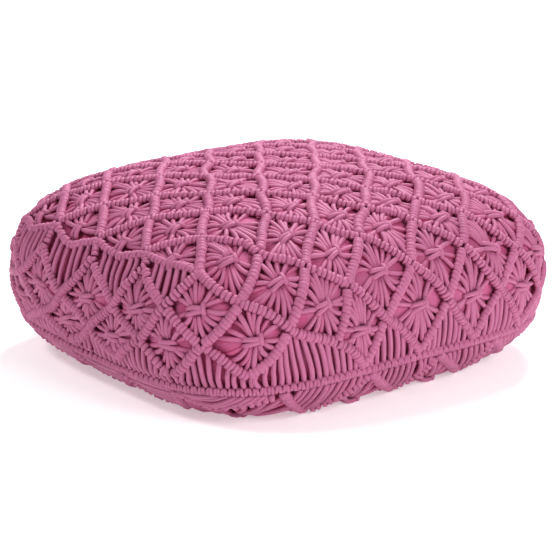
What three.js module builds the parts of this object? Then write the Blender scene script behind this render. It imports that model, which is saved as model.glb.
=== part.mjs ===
// A macrame floor pouf: a soft, filled cushion in a plain casing, inside a knotted cord cover.
// Millimetres, +Z up, origin at the middle of the base, the front towards -Y.
import * as THREE from 'three';

// The body, to the crests of the knotted ridges
const HALF_WIDTH = 250;
const HALF_DEPTH = 236;
const WAIST_LEVEL = 90; // height of the widest level
const CROWN_RISE = 115; // from the widest level up to the crown
const BELLY_DROP = 122; // from the widest level down, where the floor cuts the roundness off
const PLAN_POWER = 3.9; // roundness of the square plan
const SIDE_POWER = 2.6; // roundness from the crown down the sides

// The pattern: one diamond is one step wide and one step long
const TOP_COLUMNS = 6;
const TOP_ROWS = 4;
const FRONT_ROWS = 2; // steps from the top edge down to the seam
const BOTTOM_COLUMNS = 5; // the bottom panel is knotted looser
const HALF_COLUMNS = TOP_COLUMNS / 2;
const HALF_ROWS = TOP_ROWS / 2;
const HALF_STEP = 0.5;
const FRONT_ROW = 0.5; // the row on which the front hangs from the top
const BACK_ROW = FRONT_ROW - TOP_ROWS;
const LAST_ROW = FRONT_ROW + FRONT_ROWS;
const LAST_FULL_ROW = LAST_ROW - HALF_STEP;

// The top panel's rectangle on the body, a little off its middle
const TOP_HALF_WIDTH = 201;
const TOP_HALF_DEPTH = 158;
const TOP_SHIFT_X = -10;
const TOP_SHIFT_Y = 14;
const TOP_BULGE_X = 0.05;
const TOP_BULGE_Y = 0.095;
const TOP_SKEW = -0.045; // its middle columns lean, because the knotting was pulled on askew

// The seam under the sides
const SEAM_LEVEL = 42; // height of its middle line at the corners
const SEAM_WAVE = 6; // higher at the middle of the front and back, lower on the sides
const SEAM_HALF_WIDTH = 218; // from corner to corner, along X
const SEAM_HALF = 6; // half the width of its ridge
const PIECE_GAP = 0.3;
const CORNER_EDGE_ROW = 2.15; // the row that the seam reaches at the corners
const LEFT_CORNER_POWER = 3; // how soon the rows run out towards each corner
const RIGHT_CORNER_POWER = 6;
const FRONT_EASE = 0.34; // rows lie closer just under the top edge

// Half way down the front and the back, as a series in the place from -1 to 1 across the panel:
// how far its columns are drawn together, and how far its rows sag.
const GATHER = [0.026, 0.06, 0, 0.115];
const SAG = [-0.063, -0.064, 0.278, -0.185];
const SIDE_SAG = 0.42; // how far a side panel's rows sag between its corners
const SIDE_SAG_TO_BACK = 0.2; // and how much more of it lies towards the back

// Depths below the crests of the ridges
const CREST = 0;
const KNOT_EDGE = 2.5;
const RIB = 3;
const VALLEY = 5;
const INNER = 8.5;
const CASING = INNER + PIECE_GAP;
const PRESSED = 5.5; // what is lower than this under the pouf is pressed flat on the floor

// How unevenly the pattern is knotted: steps astray, and the turns of its waves per step
const WANDER = 0.03;
const WAVES_ACROSS = [1.9, 2.6];
const WAVES_ALONG = [2.3, -1.7];

// Plain diamonds over the seam, by the corners: stars there keep to these columns
const FIRST_LOW_STAR = 2;
const LAST_LOW_STAR = 5;
const FIRST_SIDE_STAR = 1; // the row on which a side panel's stars begin
const BOTTOM_EASE = 0.18; // the rows by the rim of the bottom panel are this much longer
const BOTTOM_DRIFT = 0.15; // how far its middle columns lie to the right, half its width being 1
const GAP_STEP = 0.005; // the gap between two panels along a corner, in steps
const GAP_SHARE = 0.003; // and along a top edge, as a share of the way to the seam
const NEAR = 0.1; // rows and columns closer than this, in steps, are the same
const POINT_GRID = 0.002; // points closer than this, in millimetres, are the same

const CORD_PINK = 0xd884ad;
const CASING_PINK = 0xb85583;

const power = (value, exponent) => Math.pow(Math.abs(value), exponent);
const series = (terms, x) => terms.reduceRight((sum, term) => sum * x + term, 0);

// A unit direction is a point on the body with each half size taken as 1.
function planReach(x, y) {
  return power(power(x, PLAN_POWER) + power(y, PLAN_POWER), 1 / PLAN_POWER);
}

function skinPoint(unit, depth) {
  const plan = planReach(unit.x, unit.y);
  const reach = power(power(plan, SIDE_POWER) + power(unit.z, SIDE_POWER), 1 / SIDE_POWER);
  const height = unit.z > 0 ? CROWN_RISE : BELLY_DROP;
  const z = WAIST_LEVEL + (height - depth) * unit.z / reach;
  return new THREE.Vector3(
    (HALF_WIDTH - depth) * unit.x / reach,
    (HALF_DEPTH - depth) * unit.y / reach,
    Math.max(z, depth),
  );
}

// The point of the top that lies over a place in the plan
function topUnit(x, y) {
  const reach = planReach(x / HALF_WIDTH, y / HALF_DEPTH);
  const z = power(1 - power(reach, SIDE_POWER), 1 / SIDE_POWER);
  return new THREE.Vector3(x / HALF_WIDTH, y / HALF_DEPTH, z);
}

// across and along run from -1 to 1 over the top panel's rectangle.
function topPanelUnit(across, along) {
  const lean = TOP_SKEW * along * (1 - across * across);
  const bulge = 1 + TOP_BULGE_X * (1 - along * along);
  const x = TOP_SHIFT_X + TOP_HALF_WIDTH * (across * bulge + lean);
  const y = TOP_SHIFT_Y + TOP_HALF_DEPTH * along * (1 + TOP_BULGE_Y * (1 - across * across));
  return topUnit(x, y);
}

// The seam, as a unit direction: place runs from -1 to 1 along one side of the pouf.
function seamPlanReach(level) {
  return power(1 - power(level, SIDE_POWER), 1 / SIDE_POWER);
}

function seamLevel(wave, rise) {
  return (SEAM_LEVEL + wave + rise - WAIST_LEVEL) / BELLY_DROP;
}

function otherAxis(value, reach) {
  return power(power(reach, PLAN_POWER) - power(value, PLAN_POWER), 1 / PLAN_POWER);
}

const CORNER_REACH = seamPlanReach(seamLevel(0, 0));
const SEAM_CORNER_X = SEAM_HALF_WIDTH / HALF_WIDTH;
const SEAM_CORNER_Y = otherAxis(SEAM_CORNER_X, CORNER_REACH);

function seamFrontUnit(place, rise, toBack) {
  const z = seamLevel(SEAM_WAVE * (1 - place * place), rise);
  const x = SEAM_CORNER_X * place * seamPlanReach(z) / CORNER_REACH;
  const y = otherAxis(x, seamPlanReach(z));
  return new THREE.Vector3(x, toBack ? y : -y, z);
}

function seamSideUnit(place, rise, toRight) {
  const z = seamLevel(-SEAM_WAVE * (1 - place * place), rise);
  const y = SEAM_CORNER_Y * place * seamPlanReach(z) / CORNER_REACH;
  const x = otherAxis(y, seamPlanReach(z));
  return new THREE.Vector3(toRight ? x : -x, y, z);
}

// The last row bends down into the seam, which it meets early at the corners.
function rowShare(row, across) {
  const cornerPower = across < 0 ? LEFT_CORNER_POWER : RIGHT_CORNER_POWER;
  const edgeRow = LAST_ROW - (LAST_ROW - CORNER_EDGE_ROW) * power(across, cornerPower);
  const squash = (edgeRow - LAST_FULL_ROW) / (LAST_ROW - LAST_FULL_ROW);
  const squashed = Math.min(row, LAST_FULL_ROW) + Math.max(row - LAST_FULL_ROW, 0) * squash;
  return (squashed - FRONT_ROW) / (edgeRow - FRONT_ROW);
}

// How far the knotting wanders at a place, in steps: nothing at the panel's own edges
function wander(column, rowFromMiddle) {
  const fromSides = 1 - power(column / HALF_COLUMNS - 1, 4);
  const fromSeams = 1 - power(rowFromMiddle / (HALF_ROWS + FRONT_ROWS), 6);
  const amount = WANDER * Math.max(0, fromSides * fromSeams);
  return {
    across: amount * Math.sin(WAVES_ACROSS[0] * column + WAVES_ACROSS[1] * rowFromMiddle),
    along: amount * Math.sin(WAVES_ALONG[0] * column + WAVES_ALONG[1] * rowFromMiddle),
  };
}

// The long panel: rows run from the back seam over the top to the front seam.
function longPanel(column, row, depth) {
  const rowFromMiddle = row - (FRONT_ROW + BACK_ROW) / 2;
  const astray = wander(column, rowFromMiddle);
  const across = (column + astray.across) / HALF_COLUMNS - 1;
  const along = rowFromMiddle + astray.along;
  const beyond = Math.abs(along) - HALF_ROWS;
  if (beyond <= 0) return skinPoint(topPanelUnit(across, -along / HALF_ROWS), depth);
  const toBack = along < 0;
  const level = rowShare(FRONT_ROW + beyond, column / HALF_COLUMNS - 1);
  const loose = 4 * level * (1 - level) * (1 - across * across);
  const gathered = across - loose * series(GATHER, across);
  const top = topPanelUnit(gathered, toBack ? 1 : -1);
  const seam = seamFrontUnit(gathered, SEAM_HALF + PIECE_GAP, toBack);
  const eased = level * (1 - FRONT_EASE * (1 - gathered * gathered) * (1 - level));
  return skinPoint(top.lerp(seam, eased + loose * series(SAG, across)), depth);
}

// A side panel: columns run from the front corner to the back corner.
function sidePanel(toRight) {
  return (column, row, depth) => {
    const place = column / HALF_ROWS - 1;
    const sag = (1 - power(place, 4)) * (SIDE_SAG + SIDE_SAG_TO_BACK * place);
    const share = Math.max(power(rowShare(row, 1), 1 - sag), row > FRONT_ROW ? GAP_SHARE : 0);
    const top = topPanelUnit(toRight ? 1 : -1, place);
    const seam = seamSideUnit(place, SEAM_HALF + PIECE_GAP, toRight);
    return skinPoint(top.lerp(seam, share), depth);
  };
}

const drifted = (across) => across + BOTTOM_DRIFT * (1 - across * across);

// The bottom panel: from the seam all round to the middle of the base
function bottomPanel(column, row, depth) {
  const across = drifted(2 * column / BOTTOM_COLUMNS - 1);
  const along = row / HALF_ROWS - 1;
  const ring = Math.max(Math.abs(across), Math.abs(along));
  const centre = new THREE.Vector3(0, 0, -1);
  if (ring === 0) return skinPoint(centre, depth);
  const rise = -SEAM_HALF - PIECE_GAP;
  const rim = Math.abs(along) >= Math.abs(across)
    ? seamFrontUnit(across / ring, rise, along > 0)
    : seamSideUnit(along / ring, rise, across > 0);
  const share = (1 - BOTTOM_EASE) * ring + BOTTOM_EASE * power(ring, 4);
  return skinPoint(centre.lerp(rim, share), depth);
}

// A solid collects triangles, and points that coincide become one.
class Solid {
  constructor() {
    this.points = [];
    this.faces = [];
    this.known = new Map();
  }

  index(point) {
    const key = [point.x, point.y, point.z].map((value) => Math.round(value / POINT_GRID)).join(' ');
    if (!this.known.has(key)) {
      this.known.set(key, this.points.length);
      this.points.push(point);
    }
    return this.known.get(key);
  }

  face(a, b, c, turned) {
    const [i, j, k] = [a, b, c].map((point) => this.index(point));
    if (i === j || j === k || k === i) return;
    this.faces.push(turned ? [i, k, j] : [i, j, k]);
  }

  fan(points, turned) {
    for (let i = 1; i < points.length - 1; i += 1) this.face(points[0], points[i], points[i + 1], turned);
  }

  mesh(name, color) {
    const geometry = new THREE.BufferGeometry();
    const positions = this.points.flatMap((point) => [point.x, point.y, point.z]);
    geometry.setAttribute('position', new THREE.Float32BufferAttribute(positions, 3));
    geometry.setIndex(this.faces.flat());
    geometry.computeVertexNormals();
    const material = new THREE.MeshStandardMaterial({ color, roughness: 0.92, metalness: 0 });
    const mesh = new THREE.Mesh(geometry, material);
    mesh.name = name;
    return mesh;
  }
}

// A quarter of a diamond: side runs from its centre to the side node, end to the end node.
// Each point is its share of the way to the side node and to the end node, and its depth.
const QUARTER = {
  centre: [0, 0, CREST],
  knotSide: [0.2, 0, KNOT_EDGE],
  knotEnd: [0, 0.2, KNOT_EDGE],
  gapBend: [0.4, 0.24, VALLEY],
  gapEnd: [0.8, 0, VALLEY],
  footRib: [0.6, 0.2, RIB],
  footDip: [0.4, 0.4, VALLEY],
  footRibEnd: [0.2, 0.6, RIB],
  footEnd: [0, 0.8, VALLEY],
  plainCentre: [0, 0, VALLEY],
  plainRib: [0.2, 0, RIB],
  plainDip: [0.4, 0, VALLEY],
  plainRibSide: [0.6, 0, RIB],
};

const RIDGE_FACES = [
  ['gapEnd', 'side', 'footRib'],
  ['side', 'middle', 'footRib'],
  ['footRib', 'middle', 'footDip'],
  ['footDip', 'middle', 'footRibEnd'],
  ['footRibEnd', 'middle', 'end'],
  ['footRibEnd', 'end', 'footEnd'],
];

// A star: cords gathered from both ridges into a knot, with an opening beside it
const STAR = {
  outer: [
    ['centre', 'knotSide', 'knotEnd'],
    ['knotSide', 'gapBend', 'knotEnd'],
    ['knotEnd', 'gapBend', 'footDip'],
    ['gapBend', 'gapEnd', 'footRib'],
    ['gapBend', 'footRib', 'footDip'],
    ['knotEnd', 'footDip', 'footRibEnd'],
    ['knotEnd', 'footRibEnd', 'footEnd'],
    ...RIDGE_FACES,
  ],
  inner: [
    ['centre', 'knotSide', 'gapBend'],
    ['centre', 'gapBend', 'end'],
    ['gapBend', 'side', 'end'],
    ['gapBend', 'gapEnd', 'side'],
  ],
  walls: [['knotSide', 'gapBend'], ['gapBend', 'gapEnd']],
  sideChain: ['centre', 'knotSide', null, 'gapEnd', 'side'],
  endChain: ['end', 'footEnd', 'knotEnd', 'centre'],
};

// Plain cords side by side, hanging from the centre line to the ridge
const PLAIN = {
  outer: [
    ['plainCentre', 'plainRib', 'footRibEnd'],
    ['plainCentre', 'footRibEnd', 'footEnd'],
    ['plainRib', 'plainDip', 'footDip'],
    ['plainRib', 'footDip', 'footRibEnd'],
    ['plainDip', 'plainRibSide', 'footRib'],
    ['plainDip', 'footRib', 'footDip'],
    ['plainRibSide', 'gapEnd', 'footRib'],
    ...RIDGE_FACES,
  ],
  inner: [['plainCentre', 'side', 'end']],
  walls: [],
  sideChain: ['plainCentre', 'plainRib', 'plainDip', 'plainRibSide', 'gapEnd', 'side'],
  endChain: ['end', 'footEnd', 'plainCentre'],
};

// The same two, pressed flat under the pouf
const FLAT_STAR = {
  outer: [
    ['centre', 'knotSide', 'gapBend'],
    ['centre', 'gapBend', 'end'],
    ['gapBend', 'middle', 'end'],
    ['gapBend', 'side', 'middle'],
    ['gapBend', 'gapEnd', 'side'],
  ],
  inner: STAR.inner,
  walls: STAR.walls,
  sideChain: STAR.sideChain,
  endChain: ['end', 'centre'],
};

const FLAT_PLAIN = {
  outer: [['centre', 'side', 'middle'], ['centre', 'middle', 'end']],
  inner: [['centre', 'side', 'end']],
  walls: [],
  sideChain: ['centre', 'side'],
  endChain: ['end', 'centre'],
};

const isWhole = (value) => Math.abs(value - Math.round(value)) < NEAR;

// Every quarter of a diamond that lies in a panel's rectangle of steps
function quarters(firstColumn, lastColumn, firstRow, lastRow) {
  const found = [];
  for (let column = firstColumn; column <= lastColumn; column += HALF_STEP) {
    for (let row = firstRow; row <= lastRow; row += HALF_STEP) {
      if (isWhole(column) !== isWhole(row)) continue;
      for (const toSide of [-1, 1]) {
        for (const toEnd of [-1, 1]) {
          const side = column + toSide * HALF_STEP;
          const end = row + toEnd * HALF_STEP;
          if (side < firstColumn || side > lastColumn || end < firstRow || end > lastRow) continue;
          found.push({ column, row, side, end, turned: toSide * toEnd < 0 });
        }
      }
    }
  }
  return found;
}

// One quarter's points on the outer and the inner face of the net
function quarterPoints(chart, quarter, crest, press) {
  const { column, row, side, end } = quarter;
  const place = (toSide, toEnd, depth) => chart(column, row, depth)
    .multiplyScalar(1 - toSide - toEnd)
    .addScaledVector(chart(side, row, depth), toSide)
    .addScaledVector(chart(column, end, depth), toEnd);
  const outer = (name) => {
    const point = outerPoint(name);
    if (press && point.z < PRESSED) point.z = 0;
    return point;
  };
  const outerPoint = (name) => {
    if (name === 'side') return chart(side, row, crest(side, row));
    if (name === 'end') return chart(column, end, crest(column, end));
    if (name === 'middle') {
      const [betweenColumns, betweenRows] = [(side + column) / 2, (row + end) / 2];
      return chart(betweenColumns, betweenRows, crest(betweenColumns, betweenRows));
    }
    return place(...QUARTER[name]);
  };
  const inner = (name) => {
    if (name === 'side') return chart(side, row, INNER);
    if (name === 'end') return chart(column, end, INNER);
    return place(QUARTER[name][0], QUARTER[name][1], INNER);
  };
  return { outer, inner };
}

// The wall between the outer and the inner face along a chain of points
function addWall(solid, points, chain, turned) {
  const first = chain[0];
  const last = chain[chain.length - 1];
  const outerChain = chain.map(points.outer).reverse();
  solid.fan([points.inner(first), points.inner(last), ...outerChain], turned);
}

function splitAtOpening(chain) {
  const opening = chain.indexOf(null);
  return opening < 0 ? [chain] : [chain.slice(0, opening), chain.slice(opening + 1)];
}

// A knotted panel, with walls only along its outer edges and its openings
function knottedPanel({ name, chart, cells, kind, crest, mirrored, press }) {
  const solid = new Solid();
  const edges = new Map();
  const note = (from, to, wall) => {
    const key = [from, to].map(([x, y]) => `${x},${y}`).sort().join(' ');
    edges.set(key, edges.has(key) ? null : wall);
  };
  for (const quarter of cells) {
    const { column, row, side, end } = quarter;
    const form = kind(column, row);
    const turned = quarter.turned !== mirrored;
    const points = quarterPoints(chart, quarter, crest, press);
    for (const face of form.outer) solid.face(...face.map(points.outer), turned);
    for (const face of form.inner) solid.face(...face.map(points.inner), !turned);
    for (const chain of form.walls) addWall(solid, points, chain, turned);
    const wall = (chain) => () => {
      for (const part of splitAtOpening(chain)) addWall(solid, points, part, turned);
    };
    note([column, row], [side, row], wall(form.sideChain));
    note([column, end], [column, row], wall(form.endChain));
    note([side, row], [column, end], wall(['side', 'middle', 'end']));
  }
  for (const buildWall of edges.values()) if (buildWall) buildWall();
  return solid.mesh(name, CORD_PINK);
}

// Which diamonds of the long panel are plain: the last ones over the seam, by the corners
function longPanelKind(column, row) {
  const fromTop = Math.max(row, BACK_ROW + FRONT_ROW - row);
  const keepsStars = column >= FIRST_LOW_STAR && column <= LAST_LOW_STAR;
  const lastStar = keepsStars ? LAST_FULL_ROW : LAST_FULL_ROW - HALF_STEP;
  return fromTop > lastStar ? PLAIN : STAR;
}

function longPanelCrest(column, row) {
  const fromTop = Math.max(row, BACK_ROW + FRONT_ROW - row);
  const atCorner = column < FIRST_LOW_STAR - HALF_STEP || column > LAST_LOW_STAR + HALF_STEP;
  return fromTop > LAST_FULL_ROW + NEAR && atCorner ? RIB : CREST;
}

function sidePanelKind(column, row) {
  return row < FIRST_SIDE_STAR - NEAR || row > LAST_FULL_ROW - NEAR ? PLAIN : STAR;
}

const sidePanelCrest = (column, row) => (row > LAST_FULL_ROW + NEAR ? RIB : CREST);

function bottomPanelKind(column, row) {
  const fromEdge = Math.min(column, BOTTOM_COLUMNS - column, row, TOP_ROWS - row);
  return fromEdge < NEAR ? FLAT_PLAIN : FLAT_STAR;
}

// A side panel stands off the long panel by the gap between two pieces.
function standOff(chart) {
  return (column, row, depth) => chart(
    THREE.MathUtils.clamp(column, GAP_STEP, TOP_ROWS - GAP_STEP),
    Math.max(row, FRONT_ROW + Number.EPSILON),
    depth,
  );
}

// Places along the seam, side by side round the pouf: how far round each lies, in sides, and its
// unit direction at a rise
function seamStations(columns, placed) {
  const side = (number, steps, backwards, placedHere, unit) => Array.from({ length: steps }, (_, i) => {
    const place = placedHere(backwards ? 1 - 2 * i / steps : 2 * i / steps - 1);
    const round = number + (backwards ? 1 - place : 1 + place) / 2;
    return { round, unit: (rise) => unit(place, rise) };
  });
  const even = (place) => place;
  return [
    ...side(0, 2 * columns, false, placed, (place, rise) => seamFrontUnit(place, rise, false)),
    ...side(1, 2 * TOP_ROWS, false, even, (place, rise) => seamSideUnit(place, rise, true)),
    ...side(2, 2 * columns, true, placed, (place, rise) => seamFrontUnit(place, rise, true)),
    ...side(3, 2 * TOP_ROWS, true, even, (place, rise) => seamSideUnit(place, rise, false)),
  ];
}

// The panels above the seam and the one under it meet it at their own places.
const UPPER_STATIONS = seamStations(TOP_COLUMNS, (place) => place);
const LOWER_STATIONS = seamStations(BOTTOM_COLUMNS, drifted);

const seamRing = (stations, rise, depth) => stations
  .map(({ round, unit }) => ({ round, point: skinPoint(unit(rise), depth) }));

// A strip of triangles all round, from one ring up to the next
function addStrip(solid, lower, upper, turned) {
  const roundAfter = (ring, k) => (k + 1 < ring.length ? ring[k + 1].round : Infinity);
  let [i, j] = [0, 0];
  while (i < lower.length || j < upper.length) {
    const [low, high] = [lower[i % lower.length].point, upper[j % upper.length].point];
    const lowerLeads = j === upper.length
      || (i < lower.length && roundAfter(lower, i) <= roundAfter(upper, j));
    if (lowerLeads) i += 1;
    else j += 1;
    const next = lowerLeads ? lower[i % lower.length] : upper[j % upper.length];
    solid.face(low, next.point, high, turned);
  }
}

function seamCord() {
  const lowEdge = seamRing(LOWER_STATIONS, -SEAM_HALF, RIB);
  const lowInner = seamRing(LOWER_STATIONS, -SEAM_HALF, INNER);
  const crest = seamRing(UPPER_STATIONS, 0, CREST);
  const highEdge = seamRing(UPPER_STATIONS, SEAM_HALF, RIB);
  const highInner = seamRing(UPPER_STATIONS, SEAM_HALF, INNER);
  const solid = new Solid();
  addStrip(solid, lowEdge, crest, false);
  addStrip(solid, crest, highEdge, false);
  addStrip(solid, highEdge, highInner, false);
  addStrip(solid, lowInner, highInner, true);
  addStrip(solid, lowEdge, lowInner, true);
  return solid.mesh('seam_cord', CORD_PINK);
}

// The casing follows the inside of every panel, a gap away.
function casingCushion() {
  const solid = new Solid();
  const cover = (chart, cells, mirrored) => {
    for (const { column, row, side, end, turned } of cells) {
      const points = [chart(column, row, CASING), chart(side, row, CASING), chart(column, end, CASING)];
      solid.face(...points, turned !== mirrored);
    }
  };
  cover(longPanel, LONG_CELLS, true);
  cover(sidePanel(false), SIDE_CELLS, false);
  cover(sidePanel(true), SIDE_CELLS, true);
  cover(bottomPanel, BOTTOM_CELLS, true);
  const rise = SEAM_HALF + PIECE_GAP;
  const [low, high] = [seamRing(LOWER_STATIONS, -rise, CASING), seamRing(UPPER_STATIONS, rise, CASING)];
  addStrip(solid, low, high, false);
  return solid.mesh('casing_cushion', CASING_PINK);
}

const LONG_CELLS = quarters(0, TOP_COLUMNS, BACK_ROW - FRONT_ROWS, LAST_ROW);
const SIDE_CELLS = quarters(0, TOP_ROWS, FRONT_ROW, LAST_ROW);
const BOTTOM_CELLS = quarters(0, BOTTOM_COLUMNS, 0, TOP_ROWS);

// A panel's chart gives its points, cells its quarters, kind its diamonds, and crest the depth of
// its ridges.
const TOP_PANEL = {
  name: 'top_panel',
  chart: longPanel,
  cells: LONG_CELLS,
  kind: longPanelKind,
  crest: longPanelCrest,
  mirrored: true,
};

const sidePanelForm = (name, toRight) => ({
  name,
  chart: standOff(sidePanel(toRight)),
  cells: SIDE_CELLS,
  kind: sidePanelKind,
  crest: sidePanelCrest,
  mirrored: toRight,
});

const BOTTOM_PANEL = {
  name: 'bottom_panel',
  chart: bottomPanel,
  cells: BOTTOM_CELLS,
  kind: bottomPanelKind,
  crest: () => CREST,
  mirrored: true,
  press: true,
};

const pouf = new THREE.Group();
pouf.add(casingCushion());
pouf.add(knottedPanel(TOP_PANEL));
pouf.add(knottedPanel(sidePanelForm('side_panel_left', false)));
pouf.add(knottedPanel(sidePanelForm('side_panel_right', true)));
pouf.add(seamCord());
pouf.add(knottedPanel(BOTTOM_PANEL));

export default pouf;
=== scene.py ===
"""A macrame floor pouf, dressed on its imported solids.

Every panel is drawn from its own cords: ridges of double half hitches, fans of cords gathered into
star knots, plain cords between them, and a filled casing behind. Metres, +Z up, the front towards -Y.
"""

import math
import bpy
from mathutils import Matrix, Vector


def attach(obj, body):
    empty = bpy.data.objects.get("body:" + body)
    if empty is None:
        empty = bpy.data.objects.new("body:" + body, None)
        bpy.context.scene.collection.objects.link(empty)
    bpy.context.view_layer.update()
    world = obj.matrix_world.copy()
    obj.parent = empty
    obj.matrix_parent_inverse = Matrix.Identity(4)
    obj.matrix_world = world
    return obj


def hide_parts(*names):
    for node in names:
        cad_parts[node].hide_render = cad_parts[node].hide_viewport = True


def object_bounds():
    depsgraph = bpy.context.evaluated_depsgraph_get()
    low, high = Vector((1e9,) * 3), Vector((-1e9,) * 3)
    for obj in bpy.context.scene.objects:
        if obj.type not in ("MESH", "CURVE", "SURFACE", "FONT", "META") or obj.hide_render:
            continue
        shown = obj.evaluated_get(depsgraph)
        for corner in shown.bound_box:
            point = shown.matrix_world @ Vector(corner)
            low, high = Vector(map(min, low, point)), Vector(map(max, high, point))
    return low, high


bl_info = {
    "name": "Macrame Pouf",
    "version": (1, 0, 0),
    "blender": (4, 5, 0),
    "location": "3D View > Sidebar > Pouf",
    "description": "Knots a cord cover round a filled floor cushion",
    "category": "Add Mesh",
}

import bmesh
import bpy
import numpy as np
from bpy.props import FloatProperty, FloatVectorProperty, IntProperty, PointerProperty
from mathutils import Vector

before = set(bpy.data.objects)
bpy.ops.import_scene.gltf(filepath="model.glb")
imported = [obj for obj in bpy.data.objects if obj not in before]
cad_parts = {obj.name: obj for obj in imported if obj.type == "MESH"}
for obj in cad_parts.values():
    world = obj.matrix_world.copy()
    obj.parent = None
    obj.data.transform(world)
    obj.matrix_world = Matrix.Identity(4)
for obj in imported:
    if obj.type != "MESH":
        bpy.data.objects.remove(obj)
cad_low, cad_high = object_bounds()

MM = 0.001

# The body, to the crests of the knotted ridges
HALF_WIDTH = (cad_high.x - cad_low.x) / 2
HALF_DEPTH = (cad_high.y - cad_low.y) / 2
WAIST_LEVEL = 90 * MM  # height of the widest level
CROWN_RISE = cad_high.z - WAIST_LEVEL
BELLY_DROP = 122 * MM  # down to where the roundness would close, under the floor
PLAN_POWER = 3.9  # how square its plan is, 2 being an ellipse
SIDE_POWER = 2.6  # and how square its sides are

# The pattern: one diamond is one step wide and one step long
TOP_COLUMNS = 6
TOP_ROWS = 4
FRONT_ROWS = 2
BOTTOM_COLUMNS = 5  # the bottom panel is knotted looser
STEP_LENGTH = 67 * MM
HALF_COLUMNS = TOP_COLUMNS / 2
HALF_ROWS = TOP_ROWS / 2
FRONT_ROW = 0.5
BACK_ROW = FRONT_ROW - TOP_ROWS
LAST_ROW = FRONT_ROW + FRONT_ROWS
LAST_FULL_ROW = LAST_ROW - 0.5

# The top panel's rectangle on the body
TOP_HALF_WIDTH = 201 * MM
TOP_HALF_DEPTH = 158 * MM
TOP_SHIFT_X = -10 * MM
TOP_SHIFT_Y = 14 * MM
TOP_BULGE_X = 0.05
TOP_BULGE_Y = 0.095
TOP_SKEW = -0.045  # its middle columns lean, because the knotting was pulled on askew

# The seam under the sides
SEAM_LEVEL = 42 * MM
SEAM_WAVE = 6 * MM  # it bows up along the front and the back, and down along the sides
SEAM_HALF_WIDTH = 218 * MM
SEAM_HALF = 6 * MM

# The front and the back, in steps
CORNER_EDGE_ROW = 2.15  # the row that lies on the seam at the corners: the panel is shorter there
LEFT_CORNER_POWER = 1.8  # how late it shortens on the way to each corner
RIGHT_CORNER_POWER = 6
LOW_SWAY = 0.15  # how far the front's lowest knots stray along the seam
LOW_SWAY_REACH = 3.4  # and how far from the left corner they do
FRONT_STRAY = (-0.16, 0.15)  # how far the knots near its upper edge stray to the right and down
FRONT_STRAY_COLUMNS = (3, 4.2)  # and how far from the left corner they do
FRONT_STRAY_ROWS = 0.8
FRONT_EASE = 0.34  # how far the rows are drawn up in the middle

# Half way down the front and the back, as a series in the place from -1 to 1 across the panel:
# how far its columns are drawn together, and how far its rows sag
GATHER = (0.026, 0.06, 0, 0.115)
SAG = (-0.063, -0.064, 0.278, -0.185)

# The side panels, and the band of hitches that joins each of them to the top panel
SIDE_SAG = 0.26  # how far the rows sag between the corners
SIDE_SAG_TO_BACK = 0.15  # and how much more of it lies towards the back
SIDE_DRIFT = 0.065  # how far the middle columns lie to the front, half a panel's length being 1
EDGE_BAND = 0.15  # the band's depth, as a share of the way to the seam
EDGE_BAND_TO_BACK = 0.13  # and how much deeper it is towards the back

# The bottom panel
BOTTOM_EASE = 0.18  # how far the pattern is drawn in towards the middle
BOTTOM_DRIFT = 0.15  # the middle columns lie this much to the right, half the width being 1
BOTTOM_LEAN = 0.06  # and this much more of it, beyond the outer half rows

# How unevenly the pattern is knotted: steps astray, and radians of its waves per step
WANDER = 0.03  # slowly, over several knots
WANDERS_ACROSS = (1.9, 2.6)
WANDERS_ALONG = (2.3, -1.7)
RIPPLE = 0.034  # from one knot to the next
RIPPLES_ACROSS = (4.7, -3.9)
RIPPLES_ALONG = (3.6, 5.3)

LOW_STARS = (2, 5)  # the first and the last column with a star in the lowest row of stars
NEAR = 0.1  # rows and columns closer than this, in steps, are the same
SHORTEST_STRETCH = 0.12  # of plain cord, in steps
TINY = 1e-6

# The camera of the photograph
VIEW_AZIMUTH = math.radians(-38.57)
VIEW_ELEVATION = math.radians(16.66)
VIEW_DISTANCE = 2.3035
VIEW_TARGET = Vector((4.5 * MM, 0, 74.9 * MM))
VIEW_LENS = 137.9  # millimetres, as is the width of its sensor
VIEW_SENSOR = 36


def linear(hex_colour):
    """An sRGB colour such as 0xD884AD as linear RGBA"""
    channels = [(hex_colour >> shift & 255) / 255 for shift in (16, 8, 0)]
    curve = [c / 12.92 if c <= 0.04045 else ((c + 0.055) / 1.055) ** 2.4 for c in channels]
    return (*curve, 1.0)


class PoufCordSettings(bpy.types.PropertyGroup):
    """The cord, and how tightly it is knotted"""

    diameter: FloatProperty(
        name="Cord diameter", description="Thickness of the cotton cord", default=5.4 * MM,
        min=3 * MM, max=8 * MM, unit="LENGTH")
    hitch_pitch: FloatProperty(
        name="Hitch pitch", description="From one turn to the next along a ridge",
        default=4.5 * MM, min=3 * MM, max=8 * MM, unit="LENGTH")
    fan_cords: IntProperty(
        name="Fan cords", description="Cords from one ridge to a star knot", default=5, min=3, max=8)
    unevenness: FloatProperty(
        name="Unevenness", description="How irregular the hand knotting is", default=1.0,
        min=0, max=2, subtype="FACTOR")
    seed: IntProperty(name="Seed", description="Another knotting of the same pouf", default=7)


class PoufColourSettings(bpy.types.PropertyGroup):
    """Dyes of the cord and of the casing behind it"""

    cord: FloatVectorProperty(
        name="Cord", description="Dusty pink of the cotton cord", subtype="COLOR", size=4,
        default=linear(0xB76C8E), min=0, max=1)
    casing: FloatVectorProperty(
        name="Casing", description="Pink of the casing cloth", subtype="COLOR", size=4,
        default=linear(0xB9668B), min=0, max=1)


# Charts: a place in steps on a panel, with a depth below the crests, becomes a point on the body.
# On the way it is a unit place: shares of the body's half sizes, from its middle at the waist.


def power(value, exponent):
    return np.abs(value) ** exponent


def series(terms, x):
    return sum(term * x ** order for order, term in enumerate(terms))


def wave(size, waves, column, row):
    return size * np.sin(waves[0] * column + waves[1] * row)


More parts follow.
